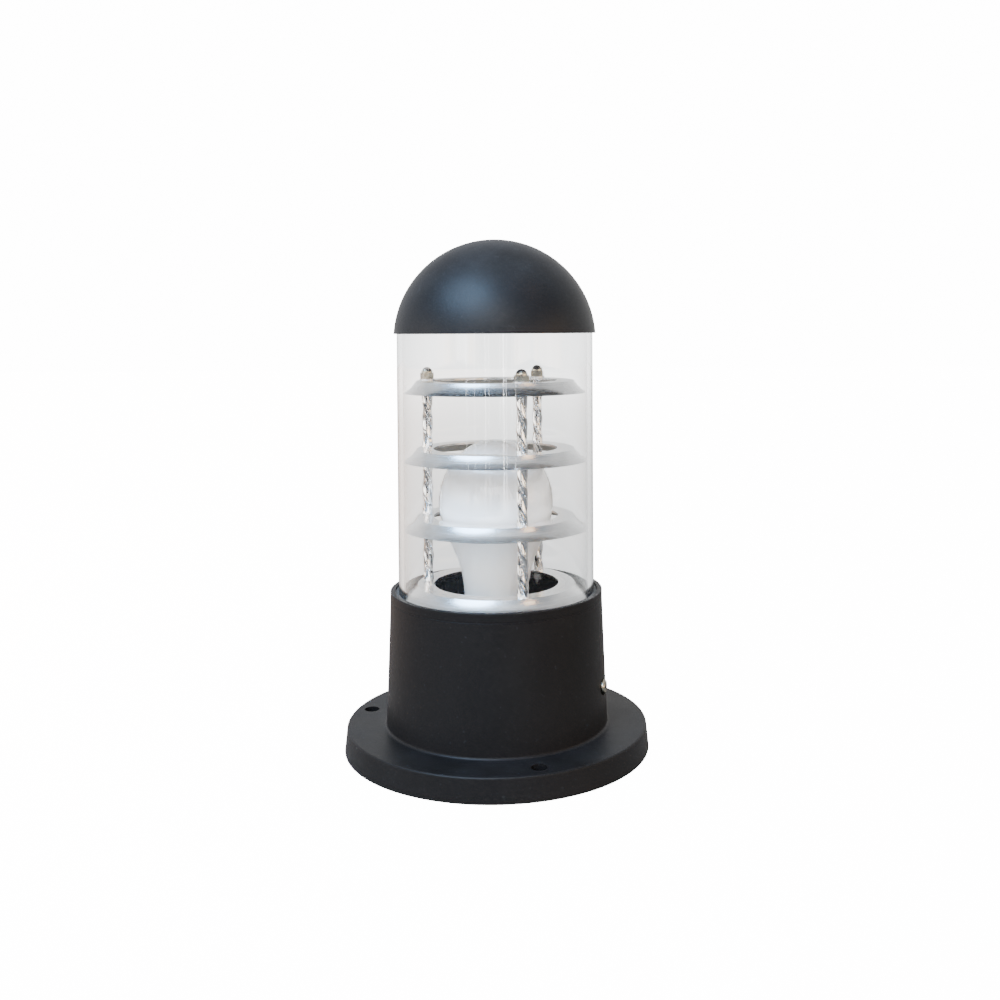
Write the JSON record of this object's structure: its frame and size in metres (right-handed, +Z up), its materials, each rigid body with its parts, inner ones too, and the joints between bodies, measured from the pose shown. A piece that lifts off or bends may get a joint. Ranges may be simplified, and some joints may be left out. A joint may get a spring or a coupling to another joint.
{
  "type": "garden post light",
  "caption": "Round outdoor post light: cast base on a foot flange, clear tube with a cage of flared louvre rings round a globe lamp, and a cast dome cap.",
  "frame": {"origin": "centre of the foot flange's underside, on the ground", "axes": "+Z up the light's axis, -Y towards the front, +X to the right as seen from the front"},
  "size_m": [0.171, 0.171, 0.2841],
  "materials": {
    "cast_body": "satin black powder coat",
    "cast_dome": "satin black powder coat",
    "gasket": "moulded",
    "clear_tube": "clear and polished",
    "louvre": "polished",
    "twisted_spacer": "polished",
    "plated_steel": "zinc plated",
    "nickel": "nickel plated",
    "brass": "rolled sheet",
    "lamp": "opal globe on a white body",
    "holder": "moulded",
    "terminal_block": "moulded",
    "lead_brown": "insulation",
    "lead_blue": "insulation",
    "lead_green_yellow": "insulation"
  },
  "bodies": {
    "root": {"base_housing": "cast_body", "head_collar": "cast_body", "tube_gasket": "gasket", "clear_tube": "clear_tube", "dome_gasket": "gasket", "dome_cap": "cast_dome", "louvre_ring_top": "louvre", "louvre_ring_middle": "louvre", "louvre_ring_lower": "louvre", "base_ring": "louvre", "tie_rod_1": "plated_steel", "tie_rod_2": "plated_steel", "tie_rod_3": "plated_steel", "spacer_1_top": "twisted_spacer", "spacer_1_middle": "twisted_spacer", "spacer_1_lower": "twisted_spacer", "spacer_2_top": "twisted_spacer", "spacer_2_middle": "twisted_spacer", "spacer_2_lower": "twisted_spacer", "spacer_3_top": "twisted_spacer", "spacer_3_middle": "twisted_spacer", "spacer_3_lower": "twisted_spacer", "cap_nuts": "nickel", "top_washers": "plated_steel", "rod_nuts": "plated_steel", "bottom_washers": "plated_steel", "led_lamp": "lamp", "holder_body": "holder", "screw_shell": "brass", "foot_contact": "brass", "contact_screws": "plated_steel", "holder_screws": "plated_steel", "holder_bracket": "plated_steel", "bracket_screws": "plated_steel", "side_screws": "nickel", "terminal_block": "terminal_block", "block_screws": "plated_steel", "earth_screw": "brass", "earth_washer": "plated_steel", "lead_live": "lead_brown", "lead_neutral": "lead_blue", "lead_earth": "lead_green_yellow"}
  },
  "joints": []
}
